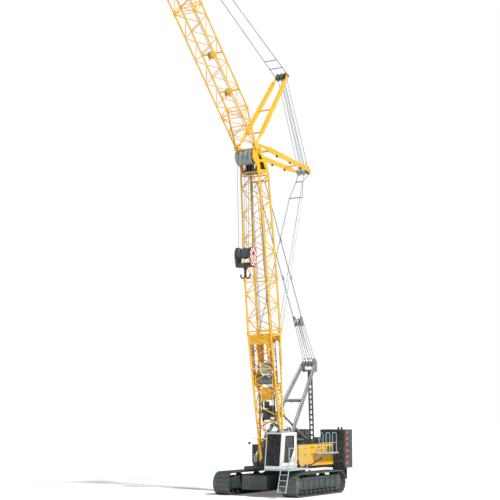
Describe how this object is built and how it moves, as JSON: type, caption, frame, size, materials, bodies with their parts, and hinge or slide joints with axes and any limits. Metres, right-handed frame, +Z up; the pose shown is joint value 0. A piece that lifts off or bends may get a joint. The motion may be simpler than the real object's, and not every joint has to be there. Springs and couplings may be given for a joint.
{
  "type": "crawler crane",
  "caption": "Crawler crane with a lattice boom and a luffing jib, a slewing upperworks with cab, gantry, counterweights, backstops and hooks, on tracks with car-body ballast.",
  "frame": {"origin": "centre of the car body's flat underside, on the slewing axis, 0.40 m above the ground", "axes": "+Z up along the slewing axis, -Y to the front where the boom leans and the cab faces, +X to the cab's side (the operator's left)"},
  "size_m": [5.253, 22.0432, 31.8057],
  "materials": {
    "yellow_paint": "semi-gloss, lightly weathered",
    "dark_green_paint": "satin, dusty",
    "track_steel": "worn, dusty bare steel",
    "off_white_paint": "semi-gloss",
    "light_grey_paint": "satin",
    "grey_steel": "satin grey with worn edges",
    "black_paint": "satin",
    "dark_glass": "tinted, clean",
    "seat_fabric": "matt woven cover"
  },
  "bodies": {
    "undercarriage": {"car_body": "dark_green_paint", "slewing_ring": "dark_green_paint", "track_left": "track_steel", "track_right": "track_steel", "track_frame_left": "dark_green_paint", "track_frame_right": "dark_green_paint", "front_ballast": "dark_green_paint", "rear_ballast": "dark_green_paint"},
    "upperworks": {"main_frame": "dark_green_paint", "machinery_house_left": "yellow_paint", "machinery_house_right": "dark_green_paint", "engine_block": "black_paint", "counterweight_tray": "dark_green_paint", "counterweight_left": "dark_green_paint", "counterweight_right": "dark_green_paint", "gantry_legs": "grey_steel", "gantry_strut": "dark_green_paint", "cab_shell": "off_white_paint", "windscreen": "dark_glass", "cab_inner_window": "dark_glass", "cab_rear_window": "dark_glass", "operator_seat": "seat_fabric", "cab_roof_guard": "light_grey_paint", "cab_platform": "light_grey_paint", "platform_railing": "light_grey_paint", "side_walkway": "light_grey_paint", "walkway_railing": "light_grey_paint", "roof_gear_left": "dark_green_paint", "engine_exhaust": "dark_green_paint", "front_railing": "light_grey_paint"},
    "cab_door": {"cab_door": "off_white_paint", "cab_door_glass": "dark_glass"},
    "main_hoist_drum": {"main_hoist_drum": "grey_steel"},
    "jib_hoist_drum": {"jib_hoist_drum": "grey_steel"},
    "boom_luffing_drum": {"boom_luffing_drum": "grey_steel"},
    "gantry_sheaves": {"gantry_sheaves": "grey_steel"},
    "pendants": {"boom_pendants": "grey_steel"},
    "backstop_barrels": {"backstop_barrels": "grey_steel"},
    "backstop_rods": {"backstop_rods": "grey_steel"},
    "boom": {"boom_foot_section": "yellow_paint", "boom_short_insert": "yellow_paint", "boom_long_insert": "yellow_paint", "boom_head": "yellow_paint", "side_board_left": "off_white_paint", "side_board_right": "off_white_paint", "rear_mast": "yellow_paint", "rear_mast_sheaves": "grey_steel", "rear_mast_stays": "grey_steel"},
    "jib_luffing_drum": {"jib_luffing_drum": "grey_steel"},
    "head_sheaves": {"boom_head_sheaves": "grey_steel"},
    "hook_block": {"hook_block": "dark_green_paint"},
    "double_hook": {"double_hook": "black_paint"},
    "jib": {"jib_foot_section": "yellow_paint", "jib_insert": "yellow_paint", "jib_head_section": "yellow_paint", "front_mast": "yellow_paint", "front_mast_sheaves": "dark_green_paint", "jib_forestays": "grey_steel"},
    "jib_sheave": {"jib_head_sheave": "grey_steel"},
    "ball_hook": {"ball_hook": "dark_green_paint"}
  },
  "joints": [
    {"name": "slewing", "type": "hinge", "parent": "undercarriage", "child": "upperworks", "pos_m": [0, 0, 0.9], "axis": [0, 0, 1], "continuous": true},
    {"name": "cab_door_slide", "type": "slide", "parent": "upperworks", "child": "cab_door", "axis": [0, 1, 0], "range_m": [0, 0.6]},
    {"name": "main_hoist_spin", "type": "hinge", "parent": "upperworks", "child": "main_hoist_drum", "pos_m": [0, 0.45, 1.72], "axis": [-1, 0, 0], "continuous": true},
    {"name": "jib_hoist_spin", "type": "hinge", "parent": "upperworks", "child": "jib_hoist_drum", "pos_m": [0, 1.38, 1.72], "axis": [-1, 0, 0], "continuous": true},
    {"name": "boom_luffing_spin", "type": "hinge", "parent": "upperworks", "child": "boom_luffing_drum", "pos_m": [0, 2.75, 1.72], "axis": [-1, 0, 0], "continuous": true},
    {"name": "boom_luff", "type": "hinge", "parent": "upperworks", "child": "boom", "pos_m": [0, -0.971, 1.476], "axis": [-1, 0, 0], "range_deg": [-18.1, 4.9]},
    {"name": "jib_luff", "type": "hinge", "parent": "boom", "child": "jib", "pos_m": [0, -3.87405, 18.90905], "axis": [-1, 0, 0], "range_deg": [-28.6, 31.4]},
    {"name": "jib_luffing_spin", "type": "hinge", "parent": "boom", "child": "jib_luffing_drum", "pos_m": [0, -1.51447, 5.99343], "axis": [-1, 0, 0], "continuous": true},
    {"name": "gantry_sheave_swing", "type": "hinge", "parent": "upperworks", "child": "gantry_sheaves", "pos_m": [0, 3.67, 7.15], "axis": [-1, 0, 0], "range_deg": [-20.58, 5.64]},
    {"name": "pendant_travel", "type": "slide", "parent": "gantry_sheaves", "child": "pendants", "axis": [0, -0.504, 0.8637], "range_m": [-0.6129, 2.2533]},
    {"name": "backstop_swing", "type": "hinge", "parent": "upperworks", "child": "backstop_barrels", "pos_m": [0, 2.21, 2.57], "axis": [-1, 0, 0], "range_deg": [-6.82, 1.92]},
    {"name": "backstop_travel", "type": "slide", "parent": "backstop_barrels", "child": "backstop_rods", "axis": [0, -0.8905, 0.455], "range_m": [-0.2023, 0.7365]},
    {"name": "head_sheave_hang", "type": "hinge", "parent": "boom", "child": "head_sheaves", "pos_m": [0, -3.92, 18.35], "axis": [-1, 0, 0], "range_deg": [-5, 18.2]},
    {"name": "hook_hoist", "type": "slide", "parent": "head_sheaves", "child": "hook_block", "axis": [0, 0, 1], "range_m": [-10, 2.6]},
    {"name": "hook_swivel", "type": "hinge", "parent": "hook_block", "child": "double_hook", "pos_m": [0, -3.92, 12.03], "axis": [0, 0, 1], "continuous": true},
    {"name": "jib_sheave_hang", "type": "hinge", "parent": "jib", "child": "jib_sheave", "pos_m": [0, -16.75878, 30.95807], "axis": [-1, 0, 0], "range_deg": [-31.5, 28.7]},
    {"name": "ball_hook_hang", "type": "hinge", "parent": "jib_sheave", "child": "ball_hook", "pos_m": [0, -16.75878, 30.95807], "axis": [-1, 0, 0], "range_deg": [-5, 18.2]}
  ],
  "couplings": [
    {"joint": "gantry_sheave_swing", "follows": "boom_luff", "ratio": 1.1317},
    {"joint": "pendant_travel", "follows": "boom_luff", "m_per_rad": -7.1201},
    {"joint": "backstop_swing", "follows": "boom_luff", "ratio": 0.3714},
    {"joint": "backstop_travel", "follows": "boom_luff", "m_per_rad": -2.3187},
    {"joint": "head_sheave_hang", "follows": "boom_luff", "ratio": -1},
    {"joint": "jib_sheave_hang", "follows": "jib_luff", "ratio": -1},
    {"joint": "ball_hook_hang", "follows": "boom_luff", "ratio": -1}
  ]
}
